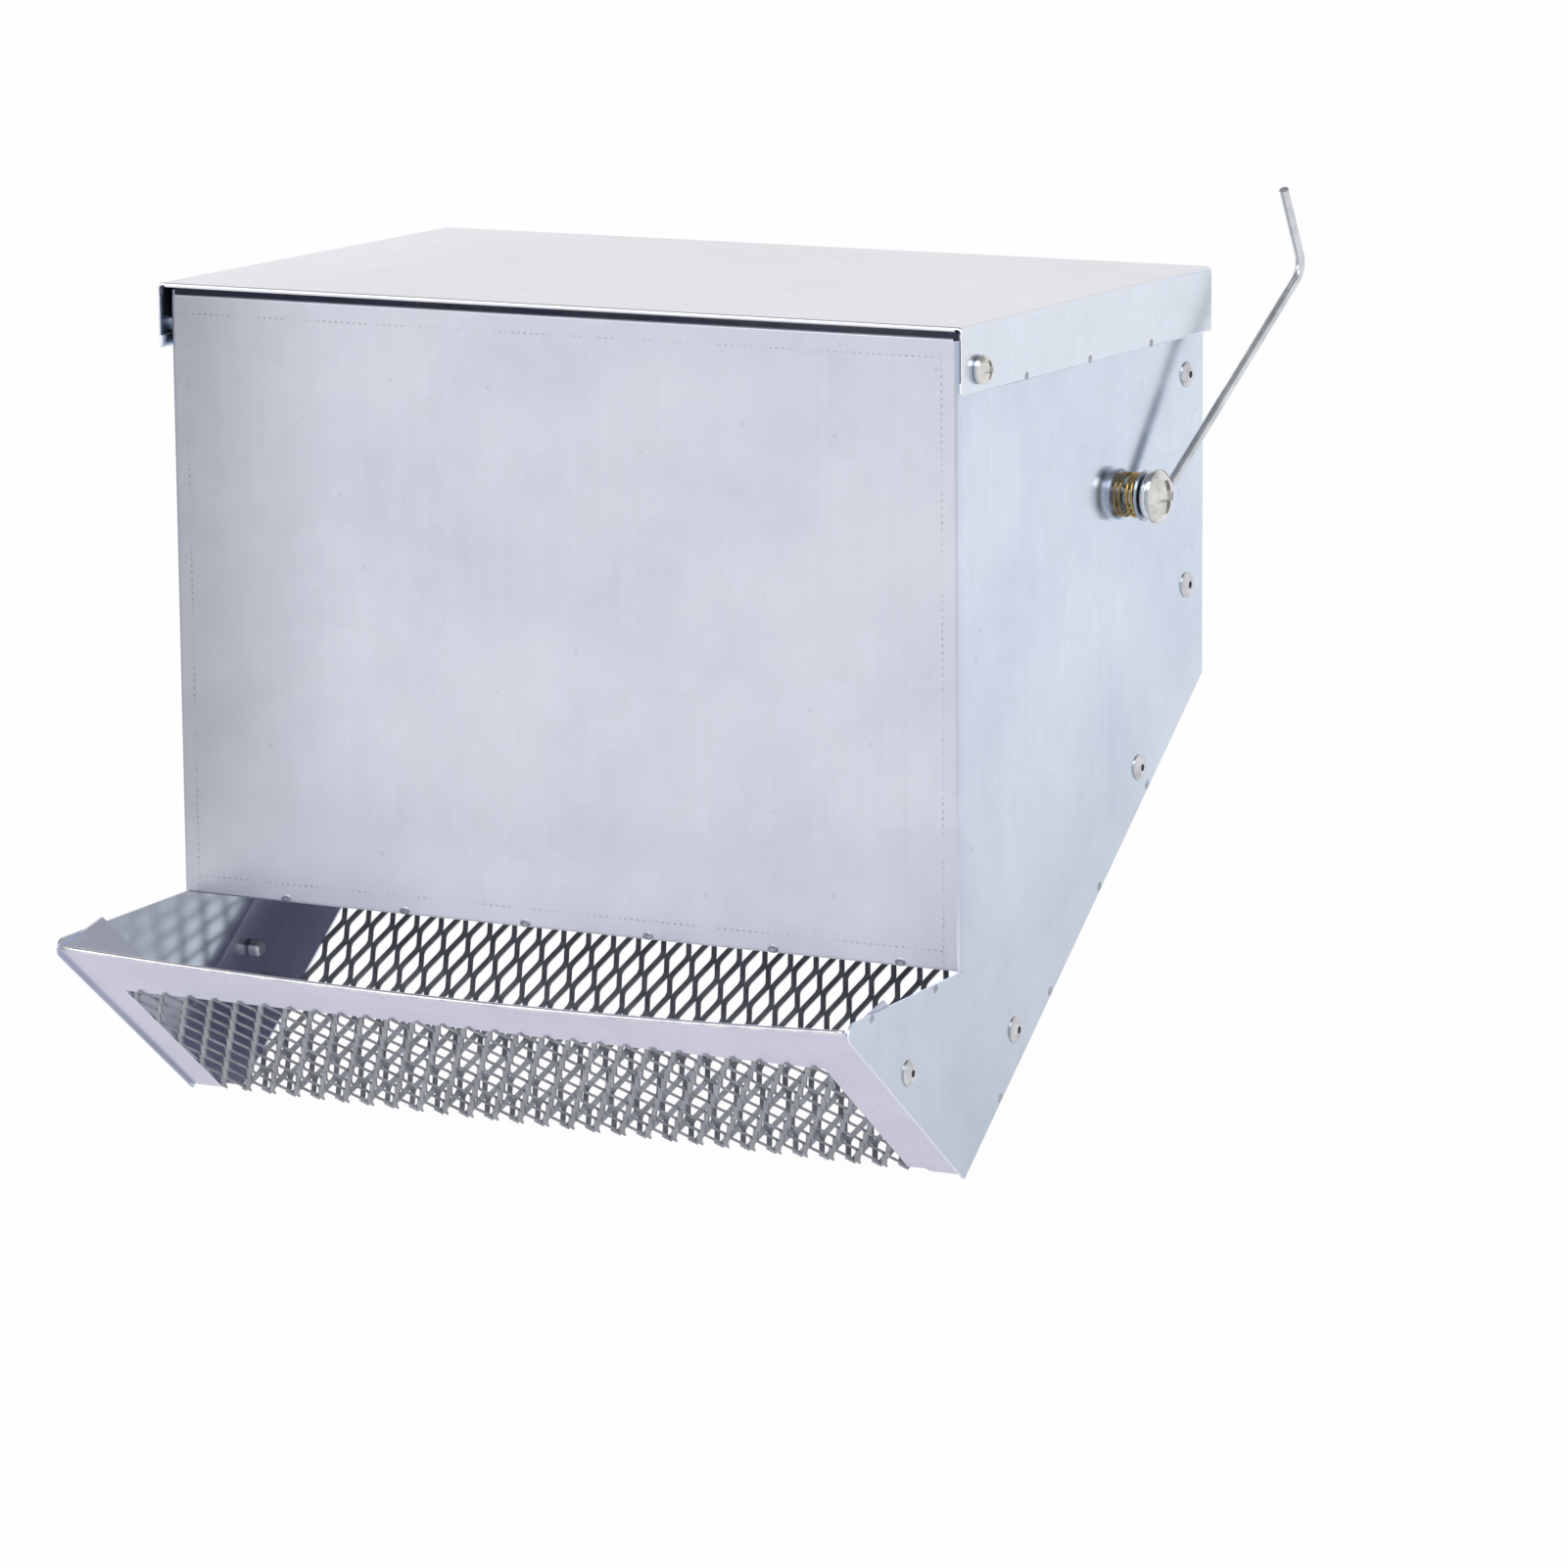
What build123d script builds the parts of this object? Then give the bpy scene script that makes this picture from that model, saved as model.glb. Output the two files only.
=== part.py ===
"""Galvanised sheet-metal rabbit feeder: hopper, sifter bottom, hinged lid, spring-held wire hooks.

Millimetres. The origin is the centre of the front panel's outer face, the face that
lies against the cage. Seen from the cage, +X is to the right, +Y runs back through the
hopper and +Z is up.
"""
from build123d import *
import math
import os

os.makedirs("parts", exist_ok=True)

# Sheet-metal body
BODY_WIDTH = 216.0          # outside of one side panel to outside of the other
FRONT_HEIGHT = 149.0        # front panel, lower edge to top bead
BODY_DEPTH = 133.0          # outer face of front panel to outer face of rear panel
SHEET = 0.6                 # thickness of every sheet
TROUGH_REACH = 61.0         # cheeks stand out this far in front of the front panel
TIP_DROP = 1.5              # cheek tip below the front panel's lower edge
TIP_RADIUS = 2.5            # rounded end of each cheek
FOLD_Y = 1.2                # lowest fold, behind the front panel's outer face
FOLD_DROP = 50.0            # lowest fold below the front panel's lower edge
REAR_CORNER_RISE = 50.5     # where the rear slope meets the rear panel, above that edge
BEND_RADIUS = 1.5           # outside of each bend
FRONT_HEM = 8.0             # sheet folded back behind the front panel's two free edges

# Sifter pan: one V-folded sheet with side flanges and two slit and stretched nets
PAN_RECESS = 0.8            # the cheeks' edges stand proud of the pan's outer faces
PAN_FLANGE = 16.0           # turned-up side flanges
PAN_TAB = 4.0               # turned up inside the rear panel
PAN_TAB_NOTCH = 2.0         # the tab stops short of each side, clear of the rear panel's flanges
LIP_SETBACK = 4.6           # front plate's lip, down the slope from the cheek tip
LIP_SAG = 6.0               # the lip dips by this much halfway along
LIP_HEM = 6.0               # folded-back strip along the lip
FLANGE_TOP_SLOPE = 13.0     # degrees: front flange's upper end, rising from the lip
NET_WIDTH = 192.0           # across, both nets
FRONT_NET_SHIFT = -2.6      # the slit patterns sit a little off centre
REAR_NET_SHIFT = 3.0
FRONT_NET_RISE = 54.0       # front net's upper edge, up the slope from the fold
REAR_NET_RISE = 149.0       # rear net's upper edge, up the slope from the fold
NET_PITCH_X = 12.0          # one diamond, across
NET_PITCH_S = 20.0          # one diamond, along the slope
NET_STRAND = 1.9            # width of a strand
NET_THICKNESS = 0.6

# Rear panel
REAR_FLANGE = 18.0          # side flanges, riveted inside the side panels
REAR_HEM = 10.0             # folded-back strip at its top edge
FLANGE_GAP = 2.0            # between the pan's flange and the rear panel's flange

# Lid
LID_RISE = 2.3              # lid's underside above the front panel's top bead
LID_SKIRT = 16.0            # depth of its side skirts, from its top face
LID_SIDE_GAP = 1.5          # skirt's inner face to side panel
LID_FRONT_OVERHANG = 2.1
LID_REAR_OVERHANG = 0.8
LID_HEM = 5.5               # folded-under strips at front and rear edges
SKIRT_HEM = 3.0             # folded-in strip along each skirt's lower edge
PIVOT_Y = 6.3               # lid pivot behind the front panel's outer face
PIVOT_DROP = 7.7            # lid pivot below the front panel's top bead
SWING_GAP = 0.25            # side panels' rounded front corners to the swinging lid

# Fasteners
RIVET_SHANK_R = 1.6
RIVET_HEAD_R = 3.2
RIVET_HEAD_H = 1.1
RIVET_TAIL_R = 2.2
RIVET_TAIL_H = 3.4
RIVET_TAIL_TAPER = 0.6       # rounding of the tail's end and of its shoulder
RIVET_BORE_R = 0.9
RIVET_RIM = 0.3             # straight rim round the flange and flat rim round the bore
PAN_RIVET_INSET = 8.0       # rivet centres in from the pan's outer faces
PAN_RIVET_END = 40.0        # rear slope's rivets in from the slope's two ends
PAN_FRONT_RIVET = 41.5      # front slope's rivet, up from the fold
REAR_RIVET_INSET = 9.4      # rear flange's rivets in front of the rear face
REAR_RIVET_LOW = 73.9       # their heights above the front panel's lower edge
REAR_RIVET_HIGH = 126.2
PIVOT_SCREW_R = 2.0
PIVOT_HEAD_R = 3.5
PIVOT_HEAD_H = 2.3
PIVOT_SCREW_REACH = 4.5     # shank inside the side panel
PIVOT_WASHER_R = 3.4
PIVOT_PLAY = 0.1            # between the skirt and its washer
PIVOT_NUT_AF = 7.0          # across flats
PIVOT_NUT_H = 3.0
HOOK_SCREW_R = 3.0
HOOK_HEAD_R = 6.6
HOOK_HEAD_H = 3.2
HOOK_SCREW_REACH = 7.5      # shank inside the panel
HOOK_NUT_AF = 10.0
HOOK_NUT_H = 5.0
WASHER_R = 6.2
WASHER_THICKNESS = 0.6
WASHER_GAP = 0.3            # radial, washer round screw
SHANK_GAP = 0.05            # radial, shank in sheet

# Spring-held wires
WIRE_R = 1.2
HOOK_EYE_GAP = 0.35         # radial, wire eye round its screw
HOOK_PLAY = 0.15            # each side of the wire, between washer and screw head
HOOK_Y = 92.5               # side hooks' screws
HOOK_RISE = 100.5           # above the front panel's lower edge
HOOK_LEG = (8.3, 70.0, 48.4)      # from eye to bend: outward, back, up
HOOK_TIP = (0.0, -11.5, 20.7)     # from bend to cut end
HOOK_BEND_R = 5.0
HOOK_TURNS = {"left": -100.0, "right": 0.0}     # degrees: the left hook is stored hanging down
SPRING_R = 5.2              # to the middle of its wire
SPRING_WIRE_R = 0.4
SPRING_TURNS = 2
SPRING_PITCH = 1.25
BAIL_X = 59.0               # rear bail's screw
BAIL_RISE = 61.0
BAIL_LEG = 113.0            # screw to bar
BAIL_BAR = 35.0             # width across at the bar
BAIL_THROAT_R = 3.0         # inside bend where each leg leaves the eye
BAIL_CORNER_R = 3.0
BAIL_GAP = 0.2              # between the two lapped ends of the bar
BAIL_LAP = 4.0              # each end runs this far past the middle of the bar
HOOK_EYE_END = 18.0         # degrees: the eye's cut end, above the horizontal
HOOK_LEG_START = 6.0        # leg runs level with the panel this far before it leans out
HEAD_BRIM = 0.25            # a screw head's straight brim, over the head's height
HEAD_SPOT = (0.62, 0.8)     # a point that its dome passes: over its radius and its height
DOME_SPOT = (0.75, 0.8)     # the same for a rivet's flange
CROSS_WIDTH = 0.16          # a cross recess's arm width and length, over the head's radius
CROSS_LENGTH = 0.62
CROSS_DEPTH = 0.45          # over the head's height

# Levels and faces worked out from the sizes above
lip_z = -FRONT_HEIGHT / 2
top_z = FRONT_HEIGHT / 2
half_width = BODY_WIDTH / 2
inner_half = half_width - SHEET
lid_under_z = top_z + LID_RISE
lid_top_z = lid_under_z + SHEET
pivot_z = top_z - PIVOT_DROP
swing_radius = lid_under_z - pivot_z - SWING_GAP
bend_inner = BEND_RADIUS - SHEET

fold = Vector(FOLD_Y, lip_z - FOLD_DROP)
tip = Vector(-TROUGH_REACH, lip_z - TIP_DROP)
rear_corner = Vector(BODY_DEPTH, lip_z + REAR_CORNER_RISE)
rear_run = rear_corner - fold
front_run = tip - fold
rear_along = rear_run.normalized()
front_along = front_run.normalized()
rear_inward = Vector(-rear_along.Y, rear_along.X)
front_inward = Vector(front_along.Y, -front_along.X)


def across(point, x=0.0):
    """A point of the YZ side view, at a distance x across the body."""
    return Vector(x, point.X, point.Y)


def meet(a, a_dir, b, b_dir):
    """Where two lines of the side view cross."""
    t = ((b.X - a.X) * b_dir.Y - (b.Y - a.Y) * b_dir.X) / (a_dir.X * b_dir.Y - a_dir.Y * b_dir.X)
    return a + a_dir * t


def fold_inside(depth):
    """The fold's corner, moved inward by the same depth from both slopes."""
    return meet(fold + rear_inward * depth, rear_along, fold + front_inward * depth, front_along)


def slope_plane(start, along, inward, depth):
    """A plane on a slope: local y up the slope, normal inward, local x across."""
    return Plane(origin=across(start + inward * depth), x_dir=across(along).cross(across(inward)),
                 z_dir=across(inward))


pan_out = PAN_RECESS
pan_in = PAN_RECESS + SHEET
pan_half = inner_half
rear_slope = slope_plane(fold, rear_along, rear_inward, pan_out)
front_slope = slope_plane(fold, front_along, front_inward, pan_out)
lip_rise = front_run.length - LIP_SETBACK

rivet_spots = [
    fold + rear_along * PAN_RIVET_END + rear_inward * PAN_RIVET_INSET,
    rear_corner - rear_along * PAN_RIVET_END + rear_inward * PAN_RIVET_INSET,
    fold + front_along * PAN_FRONT_RIVET + front_inward * (PAN_RIVET_INSET - 0.5),
    Vector(BODY_DEPTH - REAR_RIVET_INSET, lip_z + REAR_RIVET_LOW),
    Vector(BODY_DEPTH - REAR_RIVET_INSET, lip_z + REAR_RIVET_HIGH),
]
hook_spot = Vector(HOOK_Y, lip_z + HOOK_RISE)
pivot_spot = Vector(PIVOT_Y, pivot_z)
bail_spot = Vector(BAIL_X, lip_z + BAIL_RISE)

# Stack outward from a panel: spring, washer, wire eye with play, screw head
spring_height = SPRING_TURNS * SPRING_PITCH + 2 * SPRING_WIRE_R
washer_low = spring_height
washer_high = washer_low + WASHER_THICKNESS
eye_level = washer_high + HOOK_PLAY + WIRE_R
head_level = eye_level + WIRE_R + HOOK_PLAY


def lip_drop(x):
    """How far the lip's arc lies below its ends at a distance x from the middle."""
    radius = (pan_half**2 + LIP_SAG**2) / (2 * LIP_SAG)
    return LIP_SAG - (radius - math.sqrt(radius**2 - x**2))


def finish(part, name):
    """Label a finished piece and write it."""
    part.label = name
    export_step(part, f"parts/{name}.step")


# Hopper shell: front panel and both side panels with trough cheeks, one folded sheet
with BuildPart() as hopper_shell:
    with BuildSketch(Plane.YZ.offset(-(half_width - BEND_RADIUS))) as front_profile:
        with BuildLine():
            Polyline((0, lip_z + SHEET), (0, top_z - SHEET))
            ThreePointArc((0, top_z - SHEET), (SHEET, top_z), (2 * SHEET, top_z - SHEET))
            Polyline((2 * SHEET, top_z - SHEET), (2 * SHEET, top_z - FRONT_HEM), (SHEET, top_z - FRONT_HEM),
                     (SHEET, lip_z + FRONT_HEM), (2 * SHEET, lip_z + FRONT_HEM), (2 * SHEET, lip_z + SHEET))
            ThreePointArc((2 * SHEET, lip_z + SHEET), (SHEET, lip_z), (0, lip_z + SHEET))
        make_face()
    extrude(amount=2 * (half_width - BEND_RADIUS))
    with BuildSketch(Plane.XY.offset(lip_z)) as bend_section:
        for x_side in (-1, 1):
            with Locations((x_side * (half_width - BEND_RADIUS), BEND_RADIUS)):
                Circle(BEND_RADIUS)
                Circle(bend_inner, mode=Mode.SUBTRACT)
        with Locations((0, BEND_RADIUS)):
            Rectangle(2 * (half_width - BEND_RADIUS), 2 * BEND_RADIUS, mode=Mode.SUBTRACT)
        with Locations((0, 2 * BEND_RADIUS)):
            Rectangle(BODY_WIDTH, 2 * BEND_RADIUS, mode=Mode.SUBTRACT)
    extrude(amount=FRONT_HEIGHT - SHEET)
    with BuildSketch(Plane.YZ.offset(inner_half)) as side_panel:
        with BuildLine():
            swing_end = Vector(BEND_RADIUS, pivot_z + math.sqrt(swing_radius**2 - (PIVOT_Y - BEND_RADIUS)**2))
            swing_start = Vector(PIVOT_Y, pivot_z + swing_radius)
            swing_mid = pivot_spot + ((swing_start + swing_end) * 0.5 - pivot_spot).normalized() * swing_radius
            Polyline(swing_end, (BEND_RADIUS, lip_z), tip, fold, rear_corner, (BODY_DEPTH, lid_under_z),
                     (PIVOT_Y, lid_under_z), swing_start)
            ThreePointArc(swing_start, swing_mid, swing_end)
        make_face()
        fillet(side_panel.vertices().sort_by(Axis.X)[0], radius=TIP_RADIUS)
        for spot in rivet_spots:
            with Locations(spot):
                Circle(RIVET_SHANK_R + SHANK_GAP, mode=Mode.SUBTRACT)
        with Locations(pivot_spot):
            Circle(PIVOT_SCREW_R + SHANK_GAP, mode=Mode.SUBTRACT)
        with Locations(hook_spot):
            Circle(HOOK_SCREW_R + SHANK_GAP, mode=Mode.SUBTRACT)
    right_wall = extrude(amount=SHEET)
    mirror(objects=right_wall, about=Plane.YZ)
finish(hopper_shell.part, "hopper_shell")

# Sifter pan: V-folded sheet, its tab inside the rear panel, side flanges and hemmed lip
with BuildPart() as trough_pan:
    back_face = Vector(BODY_DEPTH - SHEET, 0)
    up = Vector(0, 1)
    with BuildSketch(Plane.YZ) as pan_profile:
        with BuildLine():
            corners = []
            for depth, wall in ((pan_out, 0.0), (pan_in, SHEET)):
                elbow = meet(fold + rear_inward * depth, rear_along, back_face - Vector(wall, 0), up)
                tab_end = Vector(elbow.X, rear_corner.Y + PAN_TAB)
                lip_end = fold + front_inward * depth + front_along * lip_rise
                corners.append([lip_end, fold_inside(depth), elbow, tab_end])
            Polyline(*corners[0], *reversed(corners[1]), close=True)
        make_face()
    extrude(amount=pan_half, both=True)
    with BuildSketch(front_slope) as lip_cut:
        with BuildLine():
            lip_arc = ThreePointArc((-pan_half, lip_rise), (0, lip_rise - LIP_SAG), (pan_half, lip_rise))
            Polyline(lip_arc @ 1, (pan_half, lip_rise + LIP_SAG), (-pan_half, lip_rise + LIP_SAG), lip_arc @ 0)
        make_face()
    extrude(amount=2 * SHEET, both=True, mode=Mode.SUBTRACT)
    with BuildSketch(front_slope.offset(SHEET)) as lip_hem:
        with BuildLine():
            hem_half = pan_half - SHEET - LIP_HEM
            hem_top = ThreePointArc((-hem_half, lip_rise - lip_drop(hem_half)), (0, lip_rise - LIP_SAG),
                                    (hem_half, lip_rise - lip_drop(hem_half)))
            Polyline(hem_top @ 1, (hem_top @ 1) - Vector(0, LIP_HEM))
            ThreePointArc((hem_top @ 1) - Vector(0, LIP_HEM), (0, lip_rise - LIP_SAG - LIP_HEM),
                          (hem_top @ 0) - Vector(0, LIP_HEM))
            Polyline((hem_top @ 0) - Vector(0, LIP_HEM), hem_top @ 0)
        make_face()
    extrude(amount=SHEET)
    with BuildSketch(Plane.YZ.offset(pan_half - SHEET)) as flange_shape:
        with BuildLine():
            lip_corner = fold + front_inward * pan_out + front_along * lip_rise
            end_slope = math.radians(FLANGE_TOP_SLOPE)
            front_end = meet(lip_corner, Vector(math.cos(end_slope), math.sin(end_slope)),
                             fold + front_inward * PAN_FLANGE, front_along)
            end_level = Vector(0, rear_corner.Y - FLANGE_GAP / 2)
            rear_end_low = meet(fold + rear_inward * pan_out, rear_along, end_level, Vector(1, 0))
            rear_end_high = meet(fold + rear_inward * PAN_FLANGE, rear_along, end_level, Vector(1, 0))
            Polyline(lip_corner, fold_inside(pan_out), rear_end_low, rear_end_high, fold_inside(PAN_FLANGE),
                     front_end, close=True)
        make_face()
        for spot in rivet_spots[:3]:
            with Locations(spot):
                Circle(RIVET_SHANK_R + SHANK_GAP, mode=Mode.SUBTRACT)
    side_flange = extrude(amount=SHEET)
    mirror(objects=side_flange, about=Plane.YZ)
    for plane, rise, shift in ((front_slope, FRONT_NET_RISE, FRONT_NET_SHIFT),
                               (rear_slope, REAR_NET_RISE, REAR_NET_SHIFT)):
        with BuildSketch(plane) as window:
            with Locations((shift * plane.x_dir.X, rise / 2)):
                Rectangle(NET_WIDTH, rise)
        extrude(amount=2 * SHEET, both=True, mode=Mode.SUBTRACT)
    with BuildSketch(Plane.XZ.offset(-BODY_DEPTH)) as tab_notches:
        for x_side in (-1, 1):
            with Locations((x_side * (pan_half - PAN_TAB_NOTCH / 2), rear_corner.Y + FLANGE_GAP + PAN_TAB / 2)):
                Rectangle(PAN_TAB_NOTCH, PAN_TAB)
    extrude(amount=4 * SHEET, mode=Mode.SUBTRACT)
finish(trough_pan.part, "trough_pan")

# Nets: slit and stretched zones, each one holed face
for name, plane, rise, shift, mitre_side in (
        ("front_sifter_net", front_slope, FRONT_NET_RISE, FRONT_NET_SHIFT, 1),
        ("rear_sifter_net", rear_slope, REAR_NET_RISE, REAR_NET_SHIFT, -1)):
    columns = round(NET_WIDTH / NET_PITCH_X)
    rows = round(rise / NET_PITCH_S)
    pitch_x = NET_WIDTH / columns
    pitch_s = rise / rows
    span = math.hypot(pitch_x, pitch_s)
    shrink = 1 - NET_STRAND * span / (pitch_x * pitch_s)
    with BuildPart() as net:
        with BuildSketch(plane) as net_face:
            middle = (shift * plane.x_dir.X, rise / 2)
            with Locations(middle):
                Rectangle(NET_WIDTH, rise)
            with BuildSketch(Plane.XY, mode=Mode.PRIVATE) as gap:
                with BuildLine():
                    Polyline((pitch_x * shrink / 2, 0), (0, pitch_s * shrink / 2),
                             (-pitch_x * shrink / 2, 0), (0, -pitch_s * shrink / 2), close=True)
                make_face()
            for across_count, along_count in ((columns, rows), (columns - 1, rows - 1)):
                with Locations(middle):
                    with GridLocations(pitch_x, pitch_s, across_count, along_count):
                        add(gap.sketch, mode=Mode.SUBTRACT)
        extrude(amount=NET_THICKNESS)
        # each net is mitred where the two meet along the fold
        with BuildSketch(Plane.YZ) as past_mitre:
            with BuildLine():
                mitre_low = fold_inside(pan_out)
                mitre_high = fold_inside(pan_out + 2 * NET_THICKNESS)
                mitre_low = mitre_low - (mitre_high - mitre_low)
                beyond = (mitre_low - mitre_high).rotate(Axis.Z, 90) * mitre_side
                Polyline(mitre_low, mitre_high, mitre_high + beyond, mitre_low + beyond, close=True)
            make_face()
        extrude(amount=NET_WIDTH, both=True, mode=Mode.SUBTRACT)
    finish(net.part, name)
    print(name, columns * rows + (columns - 1) * (rows - 1), "gaps", net.part.is_valid)


# Rear panel, with its top hem and riveted side flanges
with BuildPart() as rear_panel:
    with BuildSketch(Plane.YZ.offset(-pan_half)) as rear_profile:
        with BuildLine():
            y_out = BODY_DEPTH
            y_in = BODY_DEPTH - SHEET
            y_hem = BODY_DEPTH - 2 * SHEET
            Polyline((y_hem, top_z - SHEET), (y_hem, top_z - REAR_HEM), (y_in, top_z - REAR_HEM),
                     (y_in, rear_corner.Y), (y_out, rear_corner.Y), (y_out, top_z - SHEET))
            ThreePointArc((y_out, top_z - SHEET), (y_in, top_z), (y_hem, top_z - SHEET))
        make_face()
    extrude(amount=2 * pan_half)
    flange_low = rear_corner.Y + FLANGE_GAP
    flange_high = top_z - REAR_HEM - FLANGE_GAP
    with BuildSketch(Plane.YZ.offset(pan_half - SHEET)) as rear_flange:
        with Locations((BODY_DEPTH - REAR_FLANGE / 2, (flange_low + flange_high) / 2)):
            Rectangle(REAR_FLANGE, flange_high - flange_low)
        for spot in rivet_spots[3:]:
            with Locations(spot):
                Circle(RIVET_SHANK_R + SHANK_GAP, mode=Mode.SUBTRACT)
    right_flange = extrude(amount=SHEET)
    mirror(objects=right_flange, about=Plane.YZ)
    with BuildSketch(Plane.XZ.offset(-BODY_DEPTH)) as bail_hole:
        with Locations(bail_spot):
            Circle(HOOK_SCREW_R + SHANK_GAP)
    extrude(amount=2 * SHEET, mode=Mode.SUBTRACT)
finish(rear_panel.part, "rear_panel")

# Lid: flat top, side skirts hemmed at their lower edges, hemmed front and rear edges
skirt_out = half_width + LID_SIDE_GAP + SHEET
skirt_in = skirt_out - SHEET
skirt_low = lid_top_z - LID_SKIRT
lid_length = BODY_DEPTH + LID_FRONT_OVERHANG + LID_REAR_OVERHANG
with BuildPart() as lid:
    with BuildSketch(Plane.XZ.offset(LID_FRONT_OVERHANG)) as lid_section:
        Rectangle(2 * skirt_out, 2 * lid_top_z)
        fillet(lid_section.vertices().group_by(Axis.Y)[-1], radius=BEND_RADIUS)
        with BuildSketch(Plane.XY, mode=Mode.PRIVATE) as lid_inside:
            Rectangle(2 * skirt_in, 2 * lid_under_z)
            fillet(lid_inside.vertices().group_by(Axis.Y)[-1], radius=bend_inner)
        add(lid_inside.sketch, mode=Mode.SUBTRACT)
        with Locations((0, skirt_low / 2 - lid_top_z / 2 + SHEET / 2)):
            Rectangle(3 * skirt_out, skirt_low + lid_top_z + SHEET, mode=Mode.SUBTRACT)
        for x_side in (-1, 1):
            with Locations((x_side * skirt_in, skirt_low + SHEET)):
                Circle(SHEET)
            with Locations((x_side * (skirt_in - SHEET / 2), skirt_low + (SHEET + SKIRT_HEM) / 2)):
                Rectangle(SHEET, SKIRT_HEM - SHEET)
    extrude(amount=-lid_length)
    with BuildSketch(Plane.XY.offset(lid_under_z)) as lid_hems:
        with Locations((0, LID_HEM / 2 - LID_FRONT_OVERHANG)):
            Rectangle(2 * skirt_in - 2 * BEND_RADIUS, LID_HEM)
        with Locations((0, BODY_DEPTH + LID_REAR_OVERHANG - LID_HEM / 2)):
            Rectangle(2 * inner_half - 2 * SHEET, LID_HEM)
    extrude(amount=-SHEET)
    hem_beads = lid.edges().filter_by(Axis.X).filter_by(
        lambda edge: edge.length > BODY_WIDTH / 2
        and (edge.center().Y < 0.1 - LID_FRONT_OVERHANG or edge.center().Y > BODY_DEPTH + LID_REAR_OVERHANG - 0.1))
    fillet(hem_beads, radius=0.8 * SHEET)
    for x_side in (-1, 1):
        with BuildSketch(Plane.YZ.offset(x_side * skirt_out)) as pivot_hole:
            with Locations(pivot_spot):
                Circle(PIVOT_SCREW_R + SHANK_GAP)
        extrude(amount=-x_side * 2 * SHEET, mode=Mode.SUBTRACT)
finish(lid.part, "lid")


def outward(x_side, spot):
    """A plane on the outside of a side panel, its normal pointing away from the body."""
    return Plane(origin=(x_side * half_width, spot.X, spot.Y), x_dir=(0, x_side, 0), z_dir=(x_side, 0, 0))


def lengthwise(plane):
    """The plane through a fastener's axis: local x is the radius, local y the axis outward."""
    return Plane(origin=plane.origin, x_dir=plane.x_dir, z_dir=plane.y_dir * -1)


def ring(plane, low, high, outer_r, inner_r):
    """A washer between two levels above a plane."""
    with BuildPart() as piece:
        with BuildSketch(plane.offset(low)):
            Circle(outer_r)
            Circle(inner_r, mode=Mode.SUBTRACT)
        extrude(amount=high - low)
    return piece.part


def nut(plane, low, high, across_flats, inner_r):
    """A hexagon nut between two levels above a plane."""
    with BuildPart() as piece:
        with BuildSketch(plane.offset(low)):
            RegularPolygon(radius=across_flats / 2, side_count=6, major_radius=False)
            Circle(inner_r, mode=Mode.SUBTRACT)
        extrude(amount=high - low)
    return piece.part


def screw(plane, shank_r, head_r, head_h, head_low, reach):
    """A domed cross-recess screw whose head starts at a level above a plane."""
    with BuildPart() as piece:
        with BuildSketch(lengthwise(plane)):
            with BuildLine():
                brim = head_low + HEAD_BRIM * head_h
                crown = head_low + head_h
                Polyline((0, crown), (0, -reach), (shank_r, -reach), (shank_r, head_low),
                         (head_r, head_low), (head_r, brim))
                ThreePointArc((head_r, brim), (HEAD_SPOT[0] * head_r, head_low + HEAD_SPOT[1] * head_h), (0, crown))
            make_face()
        revolve(axis=Axis(plane.origin, plane.z_dir))
        with BuildSketch(plane.offset(crown - CROSS_DEPTH * head_h)):
            Rectangle(2 * CROSS_LENGTH * head_r, 2 * CROSS_WIDTH * head_r)
            Rectangle(2 * CROSS_WIDTH * head_r, 2 * CROSS_LENGTH * head_r)
        extrude(amount=head_h, mode=Mode.SUBTRACT)
    return piece.part


def rivet(plane):
    """A blind rivet through two sheets: domed flange outside, upset tail inside."""
    with BuildPart() as piece:
        with BuildSketch(lengthwise(plane)):
            with BuildLine():
                tail_top = -2 * SHEET
                tail_end = tail_top - RIVET_TAIL_H
                rim = (RIVET_HEAD_R, RIVET_RIM)
                crown = (RIVET_BORE_R + RIVET_RIM, RIVET_HEAD_H)
                dome = (DOME_SPOT[0] * RIVET_HEAD_R, DOME_SPOT[1] * RIVET_HEAD_H)
                Polyline((0, -SHEET), (0, tail_end), (RIVET_TAIL_R - RIVET_TAIL_TAPER, tail_end),
                         (RIVET_TAIL_R, tail_end + RIVET_TAIL_TAPER), (RIVET_TAIL_R, tail_top - RIVET_TAIL_TAPER),
                         (RIVET_SHANK_R, tail_top), (RIVET_SHANK_R, 0), (RIVET_HEAD_R, 0), rim)
                ThreePointArc(rim, dome, crown)
                Polyline(crown, (RIVET_BORE_R, RIVET_HEAD_H), (RIVET_BORE_R, -SHEET), (0, -SHEET))
            make_face()
        revolve(axis=Axis(plane.origin, plane.z_dir))
    return piece.part


def biarc(p0, t0, p1, t1):
    """Two arcs that leave p0 along t0 and reach p1 along t1."""
    v = p1 - p0
    t = t0 + t1
    b = v.dot(t)
    a = 2 * (1 - t0.dot(t1))
    d = (-b + math.sqrt(b * b + a * v.dot(v))) / a
    q0 = p0 + t0 * d
    q1 = p1 - t1 * d
    middle = (q0 + q1) * 0.5
    TangentArc(p0, middle, tangent=t0)
    TangentArc(middle, p1, tangent=q1 - q0)


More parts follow.
